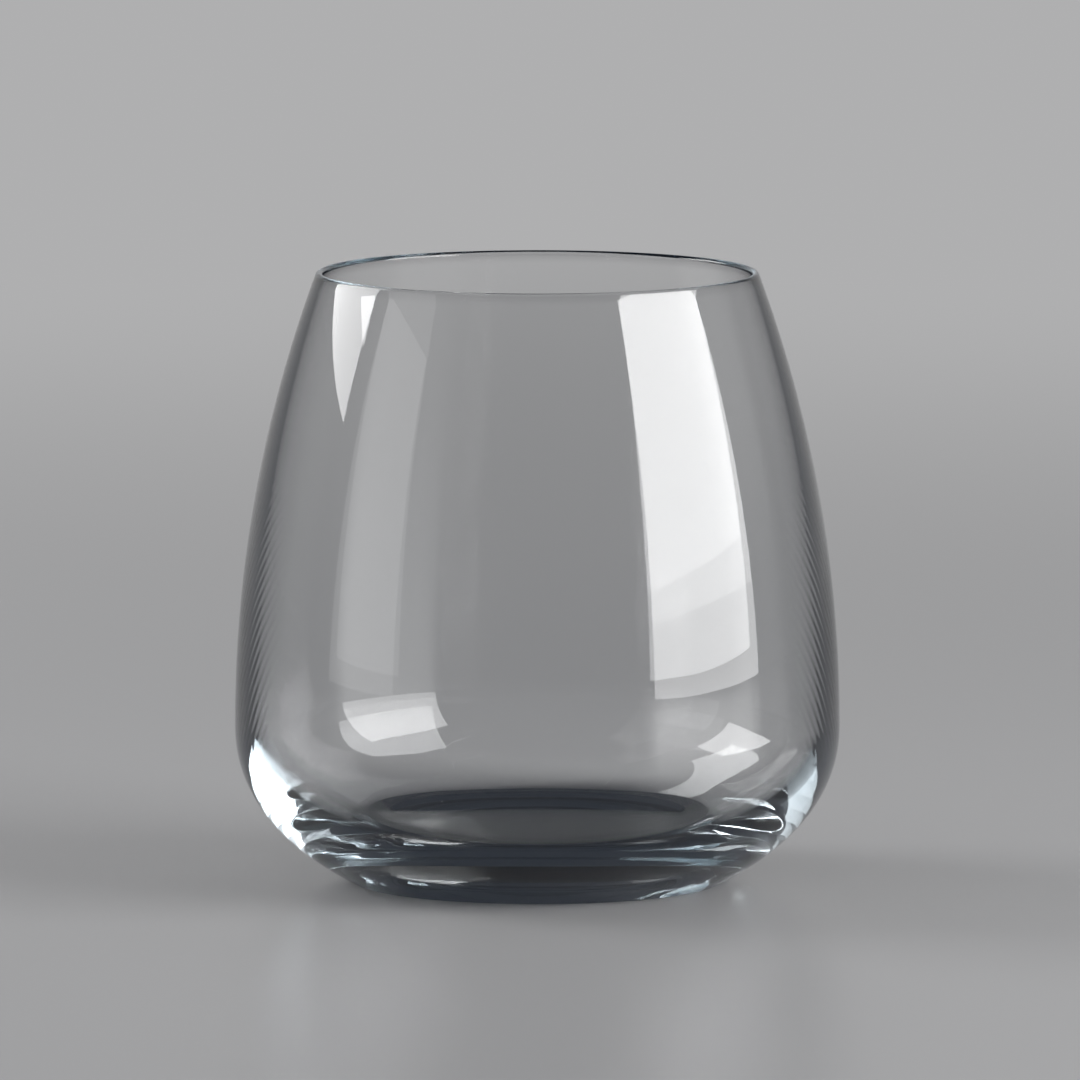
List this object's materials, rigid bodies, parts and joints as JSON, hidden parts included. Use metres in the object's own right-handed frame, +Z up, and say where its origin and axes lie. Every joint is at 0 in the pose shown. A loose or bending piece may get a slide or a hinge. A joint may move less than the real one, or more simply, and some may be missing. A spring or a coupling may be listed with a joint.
{
  "type": "rocks glass",
  "caption": "Round clear glass tumbler for drinks, widest low down and drawn in to a thin round lip, with a thick base that stands on a flat ring.",
  "frame": {"origin": "on the glass's axis, at the level of the table that the foot ring stands on", "axes": "+Z up along the glass's axis, towards the mouth; X and Y lie in the table's plane"},
  "size_m": [0.091, 0.091, 0.092],
  "materials": {
    "clear_glass": "clear and fire polished"
  },
  "bodies": {
    "root": {"tumbler": "clear_glass"}
  },
  "joints": []
}
